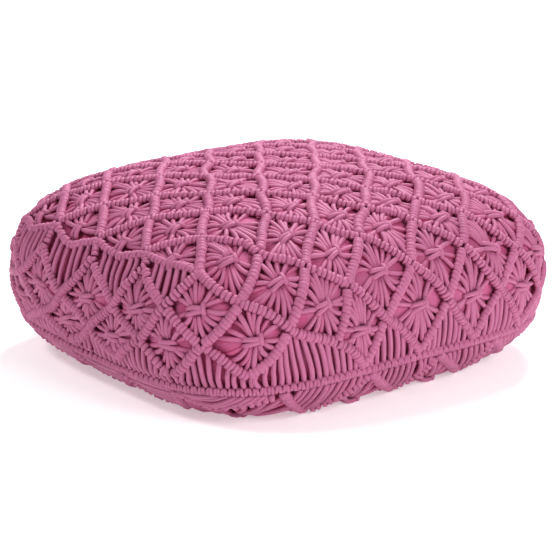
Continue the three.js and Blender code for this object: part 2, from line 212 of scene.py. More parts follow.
def plan_reach(x, y):
    """How far out a unit place lies in plan, 1 being the body's outline"""
    return power(power(x, PLAN_POWER) + power(y, PLAN_POWER), 1 / PLAN_POWER)


def body_reach(plan, z):
    """How far out a unit place lies, 1 being the body's skin"""
    return power(power(plan, SIDE_POWER) + power(z, SIDE_POWER), 1 / SIDE_POWER)


def skin(unit, depth):
    """Points at a depth under the body's skin, on the way out from its middle to unit places"""
    x, y, z = unit[..., 0], unit[..., 1], unit[..., 2]
    reach = body_reach(plan_reach(x, y), z)
    height = np.where(z > 0, CROWN_RISE, BELLY_DROP)
    level = np.maximum(WAIST_LEVEL + (height - depth) * z / reach, depth)
    return np.stack([(HALF_WIDTH - depth) * x / reach, (HALF_DEPTH - depth) * y / reach, level], -1)


def top_panel_unit(across, along):
    """A place from -1 to 1 across and along the top panel, as a unit place"""
    lean = TOP_SKEW * along * (1 - across * across)
    bulge = 1 + TOP_BULGE_X * (1 - along * along)
    x = TOP_SHIFT_X + TOP_HALF_WIDTH * (across * bulge + lean)
    y = TOP_SHIFT_Y + TOP_HALF_DEPTH * along * (1 + TOP_BULGE_Y * (1 - across * across))
    x, y = x / HALF_WIDTH, y / HALF_DEPTH
    level = power(np.maximum(1 - power(plan_reach(x, y), SIDE_POWER), 0), 1 / SIDE_POWER)
    return np.stack([x, y, level], -1)


def seam_plan_reach(level):
    """How far out the body's skin lies in plan at a unit level"""
    return power(1 - power(level, SIDE_POWER), 1 / SIDE_POWER)


def seam_level(rise):
    """The unit level at a height over the seam"""
    return (SEAM_LEVEL + rise - WAIST_LEVEL) / BELLY_DROP


def other_axis(value, reach):
    """The y that belongs to an x of a unit place, or its x to a y, at a reach in plan"""
    left = power(reach, PLAN_POWER) - power(value, PLAN_POWER)
    return power(np.maximum(left, 0), 1 / PLAN_POWER)


CORNER_REACH = seam_plan_reach(seam_level(0))
SEAM_CORNER_X = SEAM_HALF_WIDTH / HALF_WIDTH
SEAM_CORNER_Y = other_axis(SEAM_CORNER_X, CORNER_REACH)


def seam_front_unit(place, rise, backwards):
    """A place from -1 to 1 along the front seam, or the back one where backwards is 1"""
    level = seam_level(rise + SEAM_WAVE * (1 - place * place))
    x = SEAM_CORNER_X * place * seam_plan_reach(level) / CORNER_REACH
    return np.stack([x, backwards * other_axis(x, seam_plan_reach(level)), level], -1)


def seam_side_unit(place, rise, rightwards):
    """A place from -1 to 1 along the left seam, or the right one where rightwards is 1"""
    level = seam_level(rise - SEAM_WAVE * (1 - place * place))
    y = SEAM_CORNER_Y * place * seam_plan_reach(level) / CORNER_REACH
    return np.stack([rightwards * other_axis(y, seam_plan_reach(level)), y, level], -1)


def row_share(row, across):
    """How far down the side a row lies, with the panel shorter at its corners"""
    corner_power = np.where(across < 0, LEFT_CORNER_POWER, RIGHT_CORNER_POWER)
    edge_row = LAST_ROW - (LAST_ROW - CORNER_EDGE_ROW) * power(across, corner_power)
    squash = (edge_row - LAST_FULL_ROW) / (LAST_ROW - LAST_FULL_ROW)
    squashed = np.minimum(row, LAST_FULL_ROW) + np.maximum(row - LAST_FULL_ROW, 0) * squash
    return (squashed - FRONT_ROW) / (edge_row - FRONT_ROW)


def low_sway(column):
    """How far the front's lowest knots stray along the seam, in steps"""
    reach = np.maximum(1 - power(column / LOW_SWAY_REACH, 2), 0)
    return LOW_SWAY * reach * np.sin(math.pi * column)


def front_stray(column, row):
    """How far the knots near the front's upper edge stray to the right and down, in steps"""
    near = power(np.maximum(1 - power((row - FRONT_ROW) / FRONT_STRAY_ROWS, 2), 0), 2)
    aside_end, down_end = FRONT_STRAY_COLUMNS
    aside = np.maximum(np.sin(math.pi * np.minimum(column, aside_end) / aside_end), 0)
    down = np.maximum(1 - power(column / down_end, 4), 0) * np.sin(math.pi * column / 2)
    return FRONT_STRAY[0] * near * aside, FRONT_STRAY[1] * near * down


def long_panel(column, row, depth):
    """The panel that runs from the back seam over the top to the front seam"""
    even = column / HALF_COLUMNS - 1
    from_middle = row - (FRONT_ROW + BACK_ROW) / 2
    from_seams = 1 - power(from_middle / (HALF_ROWS + FRONT_ROWS), 6)
    free = np.maximum(0, (1 - power(even, 4)) * from_seams)
    drift = free * (wave(WANDER, WANDERS_ACROSS, column, from_middle)
                    + wave(RIPPLE, RIPPLES_ACROSS, column, from_middle))
    slip = free * (wave(WANDER, WANDERS_ALONG, column, from_middle)
                   + wave(RIPPLE, RIPPLES_ALONG, column, from_middle))
    low = np.clip(2 * (row - LAST_FULL_ROW) + 1, 0, 1)
    aside, down = front_stray(column, row)
    across = even + (drift + aside - low * low_sway(column)) / HALF_COLUMNS
    along = from_middle + slip + down
    beyond = np.abs(along) - HALF_ROWS
    backwards = np.where(along < 0, 1.0, -1.0)
    level = row_share(FRONT_ROW + np.maximum(beyond, 0), even)
    loose = 4 * level * (1 - level) * (1 - across * across)
    gathered = across - loose * series(GATHER, across)
    top = top_panel_unit(gathered, np.where(beyond <= 0, -along / HALF_ROWS, backwards))
    seam = seam_front_unit(gathered, SEAM_HALF, backwards)
    share = level * (1 - FRONT_EASE * (1 - gathered * gathered) * (1 - level))
    share = share + loose * series(SAG, across)
    return skin(top + (seam - top) * share[..., None], depth)


def side_panel(rightwards):
    """A side panel's chart, whose columns run from the front corner to the back one

    Its rows start under the edge band, which takes the half step above them.
    """

    def chart(column, row, depth):
        free = np.maximum(1 - power(column / HALF_ROWS - 1, 4), 0)
        free = free * np.clip(1 - power((row - FRONT_ROW) / FRONT_ROWS * 2 - 1, 6), 0, 1)
        place = (column + free * wave(RIPPLE, RIPPLES_ALONG, column, row)) / HALF_ROWS - 1
        row = row + free * wave(RIPPLE, RIPPLES_ACROSS, column, row)
        between = 1 - power(place, 4)
        band = between * (EDGE_BAND + EDGE_BAND_TO_BACK * place)
        under_band = np.clip(row / FRONT_ROW, 0, 1)
        drifted = place - SIDE_DRIFT * (1 - place * place) * under_band
        top = top_panel_unit(np.full_like(place, rightwards), drifted)
        seam = seam_side_unit(drifted, SEAM_HALF, rightwards)
        share = np.maximum(row_share(row, np.ones_like(place)), 0)
        share = power(share, 1 - between * (SIDE_SAG + SIDE_SAG_TO_BACK * place))
        share = band * row / FRONT_ROW + (row > FRONT_ROW) * (
            share * (1 - band) + band * (1 - row / FRONT_ROW))
        return skin(top + (seam - top) * share[..., None], depth)

    return chart


def bottom_panel(column, row, depth):
    """The panel under the pouf, from the seam all round to the middle of the base"""
    even = 2 * column / BOTTOM_COLUMNS - 1
    along = row / HALF_ROWS - 1
    inwards = np.minimum((1 - np.abs(along)) * TOP_ROWS, 1)
    across = even + (BOTTOM_DRIFT + BOTTOM_LEAN * inwards) * (1 - even * even)
    ring = np.maximum(np.maximum(np.abs(across), np.abs(along)), TINY)
    front = seam_front_unit(across / ring, -SEAM_HALF, np.where(along > 0, 1.0, -1.0))
    side = seam_side_unit(along / ring, -SEAM_HALF, np.where(across > 0, 1.0, -1.0))
    rim = np.where((np.abs(along) >= np.abs(across))[..., None], front, side)
    centre = np.array([0, 0, -1.0])
    share = (1 - BOTTOM_EASE) * ring + BOTTOM_EASE * power(ring, 4)
    return skin(centre + (rim - centre) * share[..., None], depth)


def unit_vectors(vectors):
    return vectors / np.maximum(np.linalg.norm(vectors, axis=-1, keepdims=True), 1e-12)


def outward(chart, column, row, depth):
    """The way out of a panel at each place"""
    step = 0.02
    along_column = chart(column + step, row, depth) - chart(column - step, row, depth)
    along_row = chart(column, row + step, depth) - chart(column, row - step, depth)
    normal = unit_vectors(np.cross(along_column, along_row))
    from_core = chart(column, row, depth) - np.array([0, 0, WAIST_LEVEL])
    return normal * np.sign(np.sum(normal * from_core, -1, keepdims=True))


def body_slope(points):
    """How far out points near the body's skin lie, 1 being the skin, and its slope there"""
    x, y = points[..., 0] / HALF_WIDTH, points[..., 1] / HALF_DEPTH
    level = points[..., 2] - WAIST_LEVEL
    height = np.where(level > 0, CROWN_RISE, BELLY_DROP)
    z = level / height
    plan = plan_reach(x, y)
    steep = plan ** (SIDE_POWER - PLAN_POWER)
    slope = np.stack([
        steep * power(x, PLAN_POWER - 1) * np.sign(x) / HALF_WIDTH,
        steep * power(y, PLAN_POWER - 1) * np.sign(y) / HALF_DEPTH,
        power(z, SIDE_POWER - 1) * np.sign(z) / height], -1)
    return body_reach(plan, z), slope


def body_normal(points):
    """The way out of the body at points near its skin"""
    return unit_vectors(body_slope(points)[1])


# The lattice: nodes where ridges cross, and the diamonds between them


def is_whole(value):
    return abs(value - round(value)) < NEAR


def halves(first, last):
    return [first + 0.5 * i for i in range(round((last - first) * 2) + 1)]


class Panel:
    """One knotted panel: its chart, its rectangle of steps, and which diamonds are stars"""

    def __init__(self, chart, columns, rows, is_star):
        self.chart = chart
        self.columns = columns
        self.rows = rows
        self.is_star = is_star

    def inside(self, column, row):
        return (self.columns[0] <= column <= self.columns[1]
                and self.rows[0] <= row <= self.rows[1])

    def diamonds(self):
        """Each diamond's middle with those of its four quarters that lie on the panel"""
        found = []
        for column in halves(*self.columns):
            for row in halves(*self.rows):
                if is_whole(column) != is_whole(row):
                    continue
                quarters = [(side, end) for side in (-1, 1) for end in (-1, 1)
                            if self.inside(column + side / 2, row)
                            and self.inside(column, row + end / 2)]
                found.append((column, row, quarters))
        return found

    def bars(self, slant):
        """Ridges from node to node, down to the right for slant 1, down to the left for -1

        A ridge is knotted only beside a star.
        """
        return [((column, row), (column + slant / 2, row + 0.5))
                for column in halves(*self.columns) for row in halves(*self.rows)
                if is_whole(column) != is_whole(row)
                and self.inside(column + slant / 2, row + 0.5)
                and (self.is_star(column + slant / 2, row) or self.is_star(column, row + 0.5))]

    def stretches(self, column):
        """Rows from and to which a plain cord hangs: between two ridges, or a ridge and the edge"""
        rows = [*self.rows]
        for start, end in self.bars(1) + self.bars(-1):
            share = (column - start[0]) / (end[0] - start[0])
            if 0 <= share < 1:
                rows.append(start[1] + share / 2)
        rows.sort()
        return [(low, high) for low, high in zip(rows, rows[1:])
                if high - low > SHORTEST_STRETCH and not self.star_at(column, (low + high) / 2)]

    def star_at(self, column, row):
        """Whether a place lies in a diamond with a star"""
        right, left = math.floor(column + row + 0.5), math.floor(column - row + 0.5)
        return self.is_star((right + left) / 2, (right - left) / 2)


def long_panel_star(column, row):
    from_top = max(row, BACK_ROW + FRONT_ROW - row)
    low = LOW_STARS[0] <= column <= LOW_STARS[1]
    return from_top <= (LAST_FULL_ROW if low else LAST_FULL_ROW - 0.5)


def side_panel_star(column, row):
    return 1 - NEAR <= row <= LAST_FULL_ROW - NEAR


def bottom_panel_star(column, row):
    return min(column, BOTTOM_COLUMNS - column, row, TOP_ROWS - row) > NEAR


TOP = Panel(long_panel, (0, TOP_COLUMNS), (BACK_ROW - FRONT_ROWS, LAST_ROW), long_panel_star)
LEFT = Panel(side_panel(-1.0), (0, TOP_ROWS), (FRONT_ROW, LAST_ROW), side_panel_star)
RIGHT = Panel(side_panel(1.0), (0, TOP_ROWS), (FRONT_ROW, LAST_ROW), side_panel_star)
BOTTOM = Panel(bottom_panel, (0, BOTTOM_COLUMNS), (0, TOP_ROWS), bottom_panel_star)
SIDES = (LEFT, RIGHT)


# Meshes and objects


def new_object(name, data):
    made = bpy.data.objects.new(name, data)
    bpy.context.scene.collection.objects.link(made)
    return made


def finish_mesh(shape, mesh):
    """Writes a bmesh, shaded smooth, into a mesh"""
    for face in shape.faces:
        face.smooth = True
    shape.to_mesh(mesh)
    shape.free()


def mesh_points(mesh):
    points = np.empty(len(mesh.vertices) * 3, np.float32)
    mesh.vertices.foreach_get("co", points)
    return points.reshape(-1, 3)


def note_hollows(mesh):
    """Stores how deep each point of a mesh lies below the crests, in millimetres, for the painted
    shade in the hollows between cords
    """
    points = mesh_points(mesh).astype(float)
    full, slope = body_slope(points)
    depths = (1 - full) / np.linalg.norm(slope, axis=1)
    depths = np.minimum(depths, points[:, 2])
    hollow = mesh.attributes.new("hollow", "FLOAT", "POINT")
    hollow.data.foreach_set("value", (depths / MM).astype(np.float32))


# Cords

CORD_BEVEL = 1  # draws a cord with six sides
CAP_WELD = 1e-6  # the caps of a drawn cord are this close to its ends


class Cords:
    """Routes of cord, gathered until they become one piece"""

    def __init__(self, cord):
        self.cord = cord
        self.rng = np.random.default_rng(cord.seed)
        self.routes = []

    def uneven(self, spread, size=None):
        """How far a hand strays in knotting, given its spread at an unevenness of 1"""
        return self.rng.normal(0, spread * self.cord.unevenness, size)

    def add(self, points, radius, taper=1.0):
        """Takes a stack of routes, with one radius for all of them or one each"""
        radii = np.broadcast_to(np.asarray(radius, float), (len(points),))
        tapers = np.broadcast_to(taper, (points.shape[1],))
        self.routes.extend(zip(points, radii[:, None] * tapers))

    def curve(self, name):
        """One curve with a round bevel along all the routes"""
        curve = bpy.data.curves.new(name, "CURVE")
        curve.dimensions = "3D"
        curve.bevel_depth = 1
        curve.bevel_resolution = CORD_BEVEL
        curve.use_fill_caps = True
        for points, radii in self.routes:
            spline = curve.splines.new("POLY")
            spline.points.add(len(points) - 1)
            flat = np.ones((len(points), 4), np.float32)
            flat[:, :3] = points
            spline.points.foreach_set("co", flat.ravel())
            spline.points.foreach_set("radius", radii.astype(np.float32))
        return curve

    def piece(self, name):
        """Makes the routes one piece of cotton cord"""
        curve = self.curve(name)
        drawn = bpy.data.objects.new(name, curve)
        mesh = bpy.data.meshes.new_from_object(drawn)
        bpy.data.objects.remove(drawn)
        bpy.data.curves.remove(curve)
        shape = bmesh.new()
        shape.from_mesh(mesh)
        bmesh.ops.remove_doubles(shape, verts=shape.verts, dist=CAP_WELD)
        finish_mesh(shape, mesh)
        mesh.name = name
        mesh.materials.append(cord_material())
        note_hollows(mesh)
        piece = new_object(name, mesh)
        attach(piece, "root")
        return piece


# Ridges: turns of cord over a core

RIDGE_DEPTH = 4.7 * MM  # the core of a ridge, below its crest
RIDGE_HALF = 5.9 * MM  # half the width of a ridge
RIDGE_HEIGHT = 0.8  # of its turns, as a share of their width
TURN_ARC = np.radians(np.linspace(-112, 112, 6))  # how far a turn goes round, and its points
TURN_FULLNESS = 0.57  # the radius of a turn, as a share of the way to the next: they press together
TURN_LEAN = 0.4 * MM
CORE_RADIUS = 0.4  # as a share of the cord's diameter, because the turns pull it thin
PAIR_DRAW = 0.06  # how far the two turns of a double half hitch are drawn together
FEWEST_TURNS = 4

# Spreads, at an unevenness of 1
UNEVEN_SIZE = 0.06
UNEVEN_LEAN = 0.35 * MM
UNEVEN_RADIUS = 0.04
UNEVEN_BAR = (0.012, 0.015)  # steps that a whole ridge strays and that its middle strays

# The ridges down to the left pass under the others at the nodes, and their turns on the top panel
# are pressed together more, to a smoother sleeve.
UNDER_TRIMS = (0.08, 0.05)  # the shares of them that stay bare at their two ends
TOP_SLEEVES = {"pitch": 4.4 * MM, "fullness": 0.82}

# The sides and the bottom panel are knotted looser, in wider ridges.
SIDE_RIDGES = {"pitch": 5 * MM, "half_width": 6.1 * MM}
BOTTOM_RIDGES = {"pitch": 5.8 * MM, "half_width": 6.4 * MM, "depth": 6 * MM}


def add_ridge(cords, centres, ways, normals, pitch, half_width=RIDGE_HALF, lean=TURN_LEAN,
              fullness=TURN_FULLNESS):
    """One turn of cord over a core at each centre"""
    count = len(centres)
    radius = pitch * fullness
    across = unit_vectors(np.cross(normals, ways))
    sizes = (half_width - radius) * (1 + cords.uneven(UNEVEN_SIZE, (count, 1, 1)))
    leans = lean + cords.uneven(UNEVEN_LEAN, (count, 1, 1))
    up = np.cos(TURN_ARC)[None, :, None]
    over = np.sin(TURN_ARC)[None, :, None]
    turns = (centres[:, None] + normals[:, None] * sizes * up * RIDGE_HEIGHT
             + across[:, None] * sizes * over + ways[:, None] * leans * over)
    cords.add(turns, radius * (1 + cords.uneven(UNEVEN_RADIUS, count)))


def even_count(panel, start, end, pitch):
    """How many turns fit on a panel between two places: an even number, for double hitches"""
    ends = panel.chart(*np.array([[*start, 0], [*end, 0]]).T)
    return 2 * max(1, round(np.linalg.norm(ends[1] - ends[0]) / pitch / 2))


def hitch_places(start, end, count, trims=(0, 0)):
    """Places along a ridge, drawn together in pairs; trims are left bare at its two ends"""
    turn = np.arange(count)
    share = (turn + 0.5 + PAIR_DRAW * np.where(turn % 2, -1, 1)) / count
    share = trims[0] + (1 - trims[0] - trims[1]) * share
    start, end = np.array(start), np.array(end)
    return start + (end - start) * share[:, None]


def add_hitches(cords, chart, places, depth=RIDGE_DEPTH, **how):
    """Double half hitches at places on a panel, over a core that runs through them"""
    depths = np.full(len(places), depth)
    centres = chart(places[:, 0], places[:, 1], depths)
    ways = np.gradient(centres, axis=0)
    pitch = np.mean(np.linalg.norm(ways, axis=1))
    normals = outward(chart, places[:, 0], places[:, 1], depths)
    add_ridge(cords, centres, unit_vectors(ways), normals, pitch, **how)
    cords.add(centres[None, ::2], cords.cord.diameter * CORE_RADIUS)


def add_bars(cords, panel, slant, pitch=None, **how):
    """Ridges from node to node, down to the right for slant 1, down to the left for -1"""
    trims = (0, 0) if slant == 1 else UNDER_TRIMS
    pitch = (pitch or cords.cord.hitch_pitch) / (1 - sum(trims))
    for start, end in panel.bars(slant):
        count = max(FEWEST_TURNS, even_count(panel, start, end, pitch))
        places = hitch_places(start, end, count, trims)
        bow = np.sin(np.linspace(0, math.pi, count))
        places[:, 0] += cords.uneven(UNEVEN_BAR[0]) + cords.uneven(UNEVEN_BAR[1]) * bow
        add_hitches(cords, panel.chart, places, **how)


# The edge band of a side panel, and the short sleeves that run down from it

EDGE_HITCHES = {"depth": 4.6 * MM, "half_width": 5.2 * MM}
EDGE_PITCH = 5.6 * MM
EDGE_START = 0.05  # steps from the top panel to the band, at its nodes
EDGE_BOW = 0.33  # steps that it hangs down between them
EDGE_BOW_POWER = 0.8
SLEEVE_START = 0.06  # steps from the top panel to a sleeve, which is half a step long
UNEVEN_EDGE = 0.008


def edge_row(column):
    """The row of the edge band, which hangs from the top panel's nodes in shallow bows"""
    from_node = 1 - np.abs(2 * (column % 1) - 1)
    return EDGE_START + EDGE_BOW * from_node ** EDGE_BOW_POWER


def add_edge_band(cords, panel):
    """The band of hitches along a side panel's top, and the short sleeves below its nodes"""
    last = round(panel.columns[1])
    for column in range(last):
        start, end = (column, 0), (column + 1, 0)
        across = hitch_places(start, end, even_count(panel, start, end, EDGE_PITCH))
        across[:, 1] = edge_row(across[:, 0])
        across += cords.uneven(UNEVEN_EDGE, across.shape)
        add_hitches(cords, panel.chart, across, **EDGE_HITCHES)
    for column in range(1, last):
        start, end = (column, SLEEVE_START), (column, FRONT_ROW + SLEEVE_START)
        down = hitch_places(start, end, even_count(panel, start, end, EDGE_PITCH))
        add_hitches(cords, panel.chart, down, **EDGE_HITCHES)


# Fans: the cords of one leave a ridge, bend, and run into the star's knot. Its first cord is beside
# the end of the star, and its last one beside the star's side.

FAN_DEPTHS = np.array([8.4, 6.8, 5.8, 5.4, 5.5, 5.8, 6.4]) * MM
FAN_TAPER = np.array([1.0, 1.0, 1.0, 0.98, 0.94, 0.86, 0.76])  # pulled thin towards the knot
FAN_CORD = 0.51  # the radius of a fan's cord, as a share of the cord's diameter: pulled tight
FAN_FIRST = 0.03  # where its cords begin on the ridge, whose length is 1
FAN_SPREAD = 0.81  # and how much of it they take up
FAN_BEND_ACROSS = (0.25, 0.7)  # where the first and the last one bend on the way from knot to ridge
FAN_BEND_ALONG = 0.74
KNOT_ENTRY_ACROSS = (1.2 * MM, 9.7 * MM)  # where the first and the last one enter the knot
KNOT_ENTRY_ALONG = (4.2 * MM, 1.6 * MM)
KNOT_ENTRY_POWER = 1.3
FAN_DROP = 1.1 * MM  # how much lower every second cord lies

# Spreads: shares of the ridge, of the way to the knot and of the thickness, and a length
UNEVEN_FIRST = 0.03
UNEVEN_SPREAD = 0.06
UNEVEN_FOOT = 0.014
UNEVEN_BEND = (0.12, 0.1)
UNEVEN_DROP = 0.6 * MM
UNEVEN_FAN_CORD = 0.06


def between(ends, share):
    return ends[0] + (ends[1] - ends[0]) * share


def bend(start, middle, end, count):
    """Routes that leave start towards middle and come to end"""
    t = np.linspace(0, 1, count)[None, :, None]
    return ((1 - t) ** 2 * start[:, None] + 2 * t * (1 - t) * middle[:, None]
            + t ** 2 * end[:, None])


def half_sizes(panel, column, row):
    """Half the width and half the length of the diamond at a place, in metres"""
    reach = 0.1
    ends = np.array([[column - reach, row, 0], [column + reach, row, 0],
                     [column, row - reach, 0], [column, row + reach, 0]])
    west, east, north, south = panel.chart(*ends.T)
    sizes = np.array([np.linalg.norm(east - west), np.linalg.norm(south - north)])
    return sizes * (0.25 / reach)


def fan(cords, side, end, sizes):
    """Where each cord of a fan starts, bends and ends, in steps from its star, and how low it lies"""
    quarter = np.array([side, end])
    count = cords.cord.fan_cords - cords.rng.integers(0, 2)
    first = FAN_FIRST + abs(cords.uneven(UNEVEN_FIRST))
    spread = FAN_SPREAD + cords.uneven(UNEVEN_SPREAD)
    for i in range(count):
        order = (i + 0.5) / count
        share = first + spread * order + cords.uneven(UNEVEN_FOOT)
        foot = quarter * (share, 1 - share) / 2
        middle = foot * (between(FAN_BEND_ACROSS, order) + cords.uneven(UNEVEN_BEND[0]),
                         FAN_BEND_ALONG + cords.uneven(UNEVEN_BEND[1]))
        entry = np.array([between(KNOT_ENTRY_ACROSS, order ** KNOT_ENTRY_POWER),
                          between(KNOT_ENTRY_ALONG, order)])
        low = FAN_DROP * (i % 2) + cords.uneven(UNEVEN_DROP)
        yield (foot, middle, quarter * entry / sizes / 2), low


def add_fans(cords, panel):
    """Cords gathered from the ridges of each star diamond into its knot"""
    places, lowered = [], []
    for column, row, quarters in panel.diamonds():
        if not panel.is_star(column, row):
            continue
        sizes = half_sizes(panel, column, row)
        for side, end in quarters:
            for from_star, low in fan(cords, side, end, sizes):
                places.append(np.array(from_star) + (column, row))
                lowered.append(low)
    flat = bend(*np.swapaxes(places, 0, 1), len(FAN_DEPTHS))
    depths = FAN_DEPTHS + np.array(lowered)[:, None]
    radii = cords.cord.diameter * FAN_CORD * (1 + cords.uneven(UNEVEN_FAN_CORD, len(flat)))
    cords.add(panel.chart(flat[..., 0], flat[..., 1], depths), radii, FAN_TAPER)


# Star knots: the three strands of one, in millimetres to the right, down and below the crests

KNOT_STRANDS = (
    ((-11, -2.5, 7), (-8, -3.0, 4.4), (-4, -2.6, 3.0), (1, -1.8, 2.6), (5, -1.2, 3.2), (8, -1, 5)),
    ((-11, 4.0, 7), (-8, 3.5, 4.6), (-4, 2.8, 3.2), (1, 2.2, 2.8), (5, 1.8, 3.4), (8, 1.5, 5)),
    ((7.8, -6, 7), (7.6, -4, 4), (7.4, -1.2, 2.6), (7.4, 1.4, 2.6), (7.6, 4, 4), (7.8, 6, 7)),
)
UNEVEN_KNOT_TURN = 0.12  # radians
UNEVEN_KNOT_SIZE = 0.05


def add_knots(cords, panel):
    """The square knot in the middle of each star, but not at the corners of a side panel"""
    for column, row, _ in panel.diamonds():
        at_corner = panel in SIDES and not NEAR < column < TOP_ROWS - NEAR
        if at_corner or not panel.is_star(column, row):
            continue
        width, length = half_sizes(panel, column, row)
        turn = cords.uneven(UNEVEN_KNOT_TURN)
        grow = 1 + cords.uneven(UNEVEN_KNOT_SIZE)
        for strand in KNOT_STRANDS:
            right, down, depth = np.array(strand).T * MM
            right, down = (grow * (right * math.cos(turn) - down * math.sin(turn)),
                           grow * (right * math.sin(turn) + down * math.cos(turn)))
            route = panel.chart(column + right / width / 2, row + down / length / 2, depth)
            cords.add(route[None], cords.cord.diameter / 2)


# Plain cords

PLAIN_PITCH = 7.9 * MM  # from one plain cord to the next
HANGING_PITCH = 10 * MM  # the same, under the edge bands
PLAIN_DEPTH = 5.9 * MM
PLAIN_BOW = 0.9 * MM  # how far its middle comes out
PLAIN_SWELL = 1.07  # its thickness, as a share of the cord's, because nothing pulls it thin
PLAIN_TUCK = 0.05  # steps that it runs on, under the seam
PLAIN_POINTS = 7
UNEVEN_PLACE = 0.012
UNEVEN_DEPTH = 0.3 * MM
UNEVEN_SWAY = 0.012
UNEVEN_SWELL = 0.04


def plain_columns(panel, row, pitch=PLAIN_PITCH):
    """Places of the plain cords along a row, evenly spaced from node to node"""
    found = []
    for first in halves(*panel.columns)[:-1]:
        ends = panel.chart(np.array([first, first + 0.5]), np.full(2, row), np.zeros(2))
        count = round(np.linalg.norm(ends[1] - ends[0]) / pitch)
        found.extend(first + (np.arange(count) + 0.5) / count / 2)
    return found


def add_plain_cord(cords, panel, column, low, high):
    """One plain cord down a column, from one row to another"""
    if panel in SIDES and low == FRONT_ROW:
        low = edge_row(column)
    if panel is not BOTTOM:
        low -= PLAIN_TUCK * (low == panel.rows[0])
        high += PLAIN_TUCK * (high == panel.rows[1])
    bow = np.sin(np.linspace(0, math.pi, PLAIN_POINTS))
    depths = PLAIN_DEPTH + cords.uneven(UNEVEN_DEPTH) - PLAIN_BOW * bow
    sway = cords.uneven(UNEVEN_SWAY) * bow
    route = panel.chart(column + sway, np.linspace(low, high, PLAIN_POINTS), depths)
    cords.add(route[None], cords.cord.diameter / 2 * (PLAIN_SWELL + cords.uneven(UNEVEN_SWELL)))


def add_plain(cords, panel):
    """Plain cords side by side in the diamonds that have no star, each from its nearer edge"""
    middle = sum(panel.rows) / 2
    for edge in panel.rows:
        hanging = panel in SIDES and edge == FRONT_ROW
        for column in plain_columns(panel, edge, HANGING_PITCH if hanging else PLAIN_PITCH):
            column += hanging * cords.uneven(UNEVEN_PLACE)
            for low, high in panel.stretches(column):
                nearer_last = (low + high) / 2 > middle + TINY
                if edge == panel.rows[int(nearer_last)]:
                    add_plain_cord(cords, panel, column, low, high)


# The seam: one raised ridge all round the pouf

SEAM_TURN_HALF = 5.7 * MM  # half the height of its turns
SEAM_CORE_DEPTH = 5.0 * MM
SEAM_TURNS = (0.25, 0.75)  # where the two turns of a hitch lie between two plain cords
SEAM_LEAN = 0.7 * MM  # how far they lean together


def seam_places():
    """Where plain cords come down to the seam on its four stretches, as places from -1 to 1"""
    front = np.array(plain_columns(TOP, TOP.rows[1]))
    back = np.array(plain_columns(TOP, TOP.rows[0]))
    sides = [np.array(plain_columns(panel, panel.rows[1])) / HALF_ROWS - 1
             for panel in (RIGHT, LEFT)]
    right, left = (place - SIDE_DRIFT * (1 - place * place) for place in sides)
    return (front - low_sway(front)) / HALF_COLUMNS - 1, right, back / HALF_COLUMNS - 1, left


def seam_ring(depth):
    """Points all round along the seam, where plain cords come down to it"""
    front, right, back, left = seam_places()
    units = [seam_front_unit(front, 0, -1.0), seam_side_unit(right, 0, 1.0),
             seam_front_unit(back[::-1], 0, 1.0), seam_side_unit(left[::-1], 0, -1.0)]
    return skin(np.concatenate(units), depth)


def add_seam(cords):
    """A row of double half hitches, each between two plain cords, over a core"""
    feet = seam_ring(SEAM_CORE_DEPTH)
    steps = np.roll(feet, -1, axis=0) - feet
    shares = np.array(SEAM_TURNS)[None, :, None]
    centres = (feet[:, None] + steps[:, None] * shares).reshape(-1, 3)
    ways = unit_vectors(np.repeat(steps, 2, axis=0))
    lean = np.tile([SEAM_LEAN, -SEAM_LEAN], len(feet))[:, None, None]
    pitch = np.mean(np.linalg.norm(steps, axis=1)) / 2
    add_ridge(cords, centres, ways, body_normal(centres), pitch, half_width=SEAM_TURN_HALF,
              lean=lean)
    cords.add(np.vstack([feet[::2], feet[:1]])[None], cords.cord.diameter / 2)


# Materials

MIX_FIRST, MIX_SECOND, MIX_RESULT = 6, 7, 2  # the colour sockets of a Mix node
CORD_MATERIAL = "soft_spun_cotton_cord"
CORD_PATCHES = 28.0  # of its dye to a metre: each is about 36 mm wide
CORD_TUFTS = 900.0  # of fibres to a metre, coarser than real ones, which wouldn't show
CLOTH_PATCHES = 20.0  # of its dye to a metre: each is about 50 mm wide

# The two tints of the patches, and the depths in millimetres below the crests where the painted shade
# between cords starts and is fullest
CORD_TINTS = (0.88, 1.12)
CORD_SHADE_DEPTHS = (4.5, 11.5)
CLOTH_TINTS = (0.92, 1.08)
CLOTH_SHADE_DEPTHS = (7.0, 16.0)
SHADE_FULLNESS = 1.8  # the power by which the painted shade makes the colour fuller there
# how much brighter the painted shade's fuller colour is made, for the light bounced between cords
SHADE_TINT = 1.15

WEAVE_PITCH = 2 * MM  # real threads of half a millimetre wouldn't show: the weave is drawn coarser


def add_node(tree, kind, settings=None, links=None):
    """A node with its properties and input values set, and its inputs linked"""
    node = tree.nodes.new(kind)
    for name, value in (settings or {}).items():
        if isinstance(name, str) and hasattr(node, name):
            setattr(node, name, value)
        else:
            node.inputs[name].default_value = value
    for name, socket in (links or {}).items():
        tree.links.new(socket, node.inputs[name])
    return node


def blank_material(name):
    material = bpy.data.materials.new(name)
    material.use_nodes = True
    material.node_tree.nodes.clear()
    return material, material.node_tree


def tinted(colour, factor):
    return tuple(min(1.0, channel * factor) for channel in colour[:3]) + (1.0,)


def painted_shade_colour(colour):
    """Painted shade: the fuller colour that light takes on between cords of it, used as the base
    colour in the hollows
    """
    brightest = max(colour[:3])
    fuller = tuple(brightest * (channel / brightest) ** SHADE_FULLNESS for channel in colour[:3])
    return tinted(fuller, SHADE_TINT)


